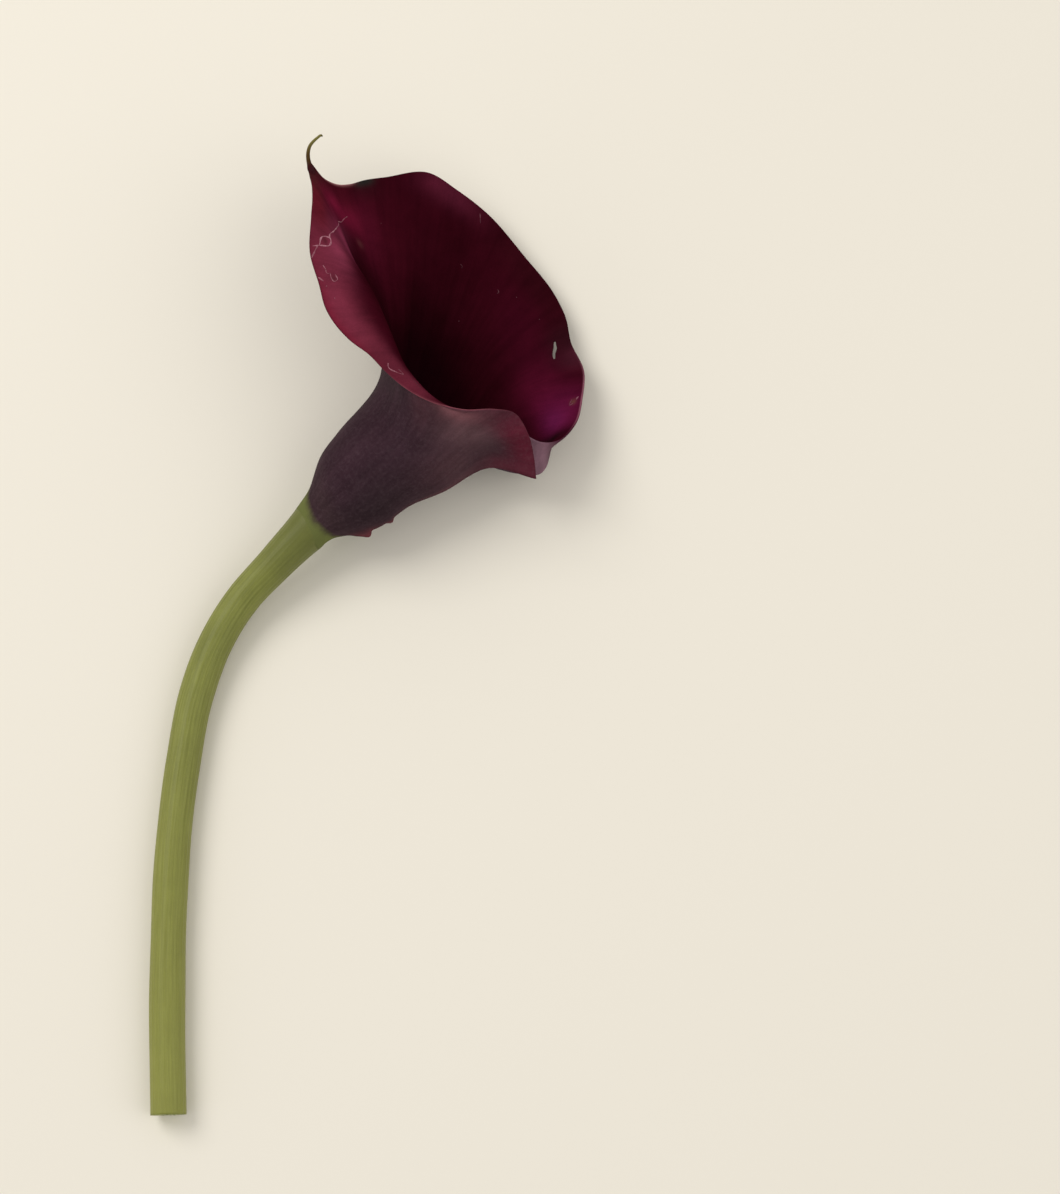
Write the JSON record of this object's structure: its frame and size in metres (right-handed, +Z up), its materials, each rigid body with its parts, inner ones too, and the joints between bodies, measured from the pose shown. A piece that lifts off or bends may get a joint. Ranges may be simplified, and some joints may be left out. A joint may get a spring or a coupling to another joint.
{
  "type": "calla lily flower",
  "caption": "Cut calla lily with one dark funnel-shaped spathe rolled round a floret-covered spadix, on a curved green stem, lying down.",
  "frame": {"origin": "middle of the bounding box in X and Y, on the surface that the flower lies on", "axes": "+Z up from that surface, +Y from the stem's cut end towards the flower, +X to the viewer's right"},
  "size_m": [0.1135, 0.2551, 0.049],
  "materials": {
    "stem": "fleshy green stem, satin, finely ribbed",
    "spathe": "deep maroon spathe, satin inside and duller with a grey bloom outside",
    "spadix": "matt dusky rose-brown florets"
  },
  "bodies": {
    "root": {"stem": "stem", "spathe": "spathe", "spadix": "spadix"}
  },
  "joints": []
}
